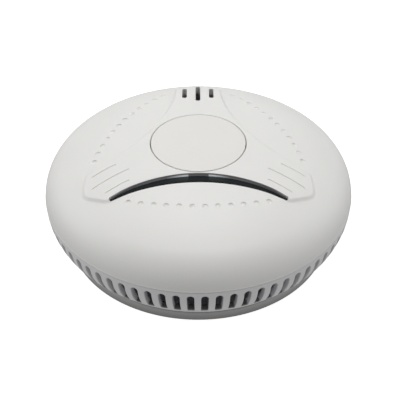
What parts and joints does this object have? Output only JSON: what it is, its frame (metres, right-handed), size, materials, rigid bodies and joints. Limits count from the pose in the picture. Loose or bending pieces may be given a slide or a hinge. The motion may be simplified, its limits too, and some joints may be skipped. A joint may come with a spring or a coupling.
{
  "type": "smoke detector",
  "caption": "Round domestic smoke detector with a vented skirt, a large test button, a smoked crescent window and a twist-off ceiling plate.",
  "frame": {"origin": "middle of the mounting plate's ceiling face", "axes": "+Z away from the ceiling towards the dome, -Y towards the crescent window, +Y towards the sound slots"},
  "size_m": [0.12, 0.12, 0.0446],
  "materials": {
    "plate_plastic": "fine matt moulding",
    "housing_plastic": "fine matt moulding",
    "cover_plastic": "fine matt moulding",
    "button_plastic": "fine matt moulding",
    "smoked_plastic": "polished, smoked",
    "clear_plastic": "polished, clear",
    "led_resin": "moulded resin",
    "board_laminate": "solder mask",
    "chamber_plastic": "light-absorbing matt",
    "screen_steel": "etched mesh",
    "emitter_resin": "tinted resin",
    "diode_resin": "dark resin",
    "sounder_plastic": "plain moulding",
    "brass": "rolled sheet",
    "piezo_ceramic": "silvered ceramic",
    "switch_plastic": "plain moulding",
    "plunger_plastic": "plain moulding",
    "cell_can": "shrink sleeve",
    "nickel_strip": "rolled strip",
    "chip_resin": "moulded resin",
    "capacitor_can": "sleeved can",
    "coil_metal": "enamelled wire on ferrite",
    "resistor_ceramic": "glazed chip",
    "screw_steel": "zinc plated"
  },
  "bodies": {
    "bracket": {"mounting_plate": "plate_plastic"},
    "head": {"rear_housing": "housing_plastic", "front_cover": "cover_plastic", "indicator_window": "smoked_plastic", "light_guide": "clear_plastic", "status_led": "led_resin", "circuit_board": "board_laminate", "chamber_base": "chamber_plastic", "chamber_cap": "chamber_plastic", "insect_screen": "screen_steel", "ir_emitter": "emitter_resin", "photodiode": "diode_resin", "sounder_case": "sounder_plastic", "sounder_lid": "sounder_plastic", "brass_disc": "brass", "ceramic_disc": "piezo_ceramic", "switch_body": "switch_plastic", "cell": "cell_can", "cell_tab_plus": "nickel_strip", "cell_tab_minus": "nickel_strip", "microcontroller": "chip_resin", "capacitor": "capacitor_can", "sounder_inductor": "coil_metal", "resistors": "resistor_ceramic", "housing_screws": "screw_steel", "board_screws": "screw_steel"},
    "button": {"test_button": "button_plastic"},
    "plunger": {"switch_plunger": "plunger_plastic"}
  },
  "joints": [
    {"name": "twist_lock", "type": "hinge", "parent": "bracket", "child": "head", "pos_m": [0, 0, 0], "axis": [0, 0, 1], "range_deg": [0, 13]},
    {"name": "button_press", "type": "slide", "parent": "head", "child": "button", "axis": [0, 0, -1], "range_m": [0, 0.0006], "stiffness_N_per_m": 800, "springref_m": -0.0006},
    {"name": "plunger_press", "type": "slide", "parent": "head", "child": "plunger", "axis": [0, 0, -1], "range_m": [0, 0.0006]}
  ],
  "couplings": [
    {"joint": "plunger_press", "follows": "button_press", "ratio": 1}
  ]
}
